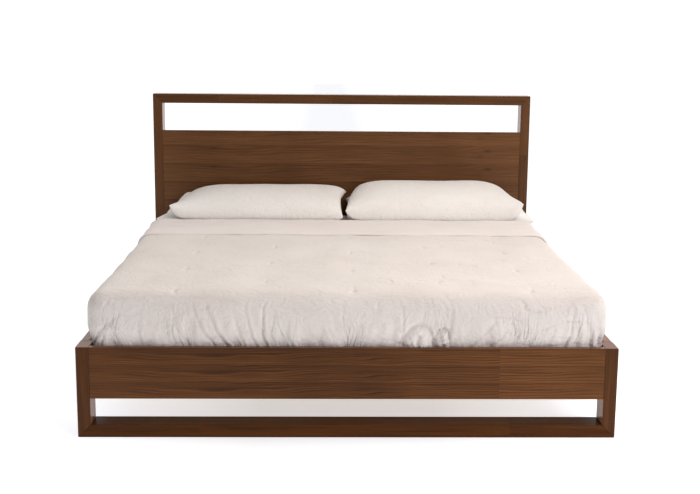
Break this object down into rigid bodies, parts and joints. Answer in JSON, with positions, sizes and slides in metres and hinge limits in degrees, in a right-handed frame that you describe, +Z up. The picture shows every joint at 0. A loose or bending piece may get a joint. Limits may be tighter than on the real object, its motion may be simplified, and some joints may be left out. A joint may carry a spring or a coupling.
{
  "type": "platform bed",
  "caption": "Platform bed with flat framed headboard and footboard, slatted deck, mattress, tucked comforter and stacked pillows.",
  "frame": {"origin": "centre of the bed's footprint on the floor", "axes": "+X to the right seen from the foot, +Y from the foot to the head, +Z up"},
  "size_m": [2.05, 2.2, 1.19],
  "materials": {
    "stained_walnut": "satin clear coat on walnut-stained solid wood",
    "walnut_veneer": "satin clear coat on slip-matched walnut veneer, grain running across the bed",
    "pine": "planed, unfinished",
    "black_steel": "black powder coat",
    "zinc_plate": "bright zinc plated pressed steel",
    "nylon": "moulded black nylon",
    "ticking": "woven damask mattress ticking, off-white",
    "sheeting": "plain woven cotton sheet, warm off-white",
    "comforter_cotton": "washed cotton, tufted, warm off-white",
    "pillowcase_cotton": "plain woven cotton, off-white"
  },
  "bodies": {
    "frame": {"beam_hanger_foot": "black_steel", "beam_hanger_head": "black_steel", "catch_plate_foot_left": "zinc_plate", "catch_plate_foot_right": "zinc_plate", "catch_plate_head_left": "zinc_plate", "catch_plate_head_right": "zinc_plate", "centre_beam": "pine", "centre_leg_1": "pine", "centre_leg_2": "pine", "centre_leg_3": "pine", "footboard_cross_rail": "stained_walnut", "footboard_floor_rail": "stained_walnut", "footboard_panel": "walnut_veneer", "footboard_post_left": "stained_walnut", "footboard_post_right": "stained_walnut", "headboard_cross_rail": "stained_walnut", "headboard_floor_rail": "stained_walnut", "headboard_panel": "walnut_veneer", "headboard_post_left": "stained_walnut", "headboard_post_right": "stained_walnut", "headboard_top_rail": "stained_walnut", "hook_plate_foot_left": "zinc_plate", "hook_plate_foot_right": "zinc_plate", "hook_plate_head_left": "zinc_plate", "hook_plate_head_right": "zinc_plate", "side_rail_left": "stained_walnut", "side_rail_right": "stained_walnut", "slat_01": "pine", "slat_02": "pine", "slat_03": "pine", "slat_04": "pine", "slat_05": "pine", "slat_06": "pine", "slat_07": "pine", "slat_08": "pine", "slat_09": "pine", "slat_10": "pine", "slat_11": "pine", "slat_12": "pine", "slat_13": "pine", "slat_ledger_left": "pine", "slat_ledger_right": "pine"},
    "mattress": {"mattress": "ticking", "fitted_sheet": "sheeting", "comforter": "comforter_cotton", "top_sheet": "sheeting"},
    "pillow_lower_left": {"pillow_lower_left": "pillowcase_cotton"},
    "pillow_upper_left": {"pillow_upper_left": "pillowcase_cotton"},
    "pillow_lower_right": {"pillow_lower_right": "pillowcase_cotton"},
    "pillow_upper_right": {"pillow_upper_right": "pillowcase_cotton"},
    "leveller_1": {"leveller_1": "nylon"},
    "leveller_2": {"leveller_2": "nylon"},
    "leveller_3": {"leveller_3": "nylon"}
  },
  "joints": [
    {"name": "mattress_lift", "type": "slide", "parent": "frame", "child": "mattress", "axis": [0, 0, 1], "range_m": [0, 0.3]},
    {"name": "pillow_lower_left_lift", "type": "slide", "parent": "mattress", "child": "pillow_lower_left", "axis": [0, 0, 1], "range_m": [0, 0.25]},
    {"name": "pillow_upper_left_lift", "type": "slide", "parent": "pillow_lower_left", "child": "pillow_upper_left", "axis": [0, 0, 1], "range_m": [0, 0.25]},
    {"name": "pillow_lower_right_lift", "type": "slide", "parent": "mattress", "child": "pillow_lower_right", "axis": [0, 0, 1], "range_m": [0, 0.25]},
    {"name": "pillow_upper_right_lift", "type": "slide", "parent": "pillow_lower_right", "child": "pillow_upper_right", "axis": [0, 0, 1], "range_m": [0, 0.25]},
    {"name": "leveller_1_screw", "type": "slide", "parent": "frame", "child": "leveller_1", "axis": [0, 0, 1], "range_m": [-0.01, 0]},
    {"name": "leveller_2_screw", "type": "slide", "parent": "frame", "child": "leveller_2", "axis": [0, 0, 1], "range_m": [-0.01, 0]},
    {"name": "leveller_3_screw", "type": "slide", "parent": "frame", "child": "leveller_3", "axis": [0, 0, 1], "range_m": [-0.01, 0]}
  ]
}
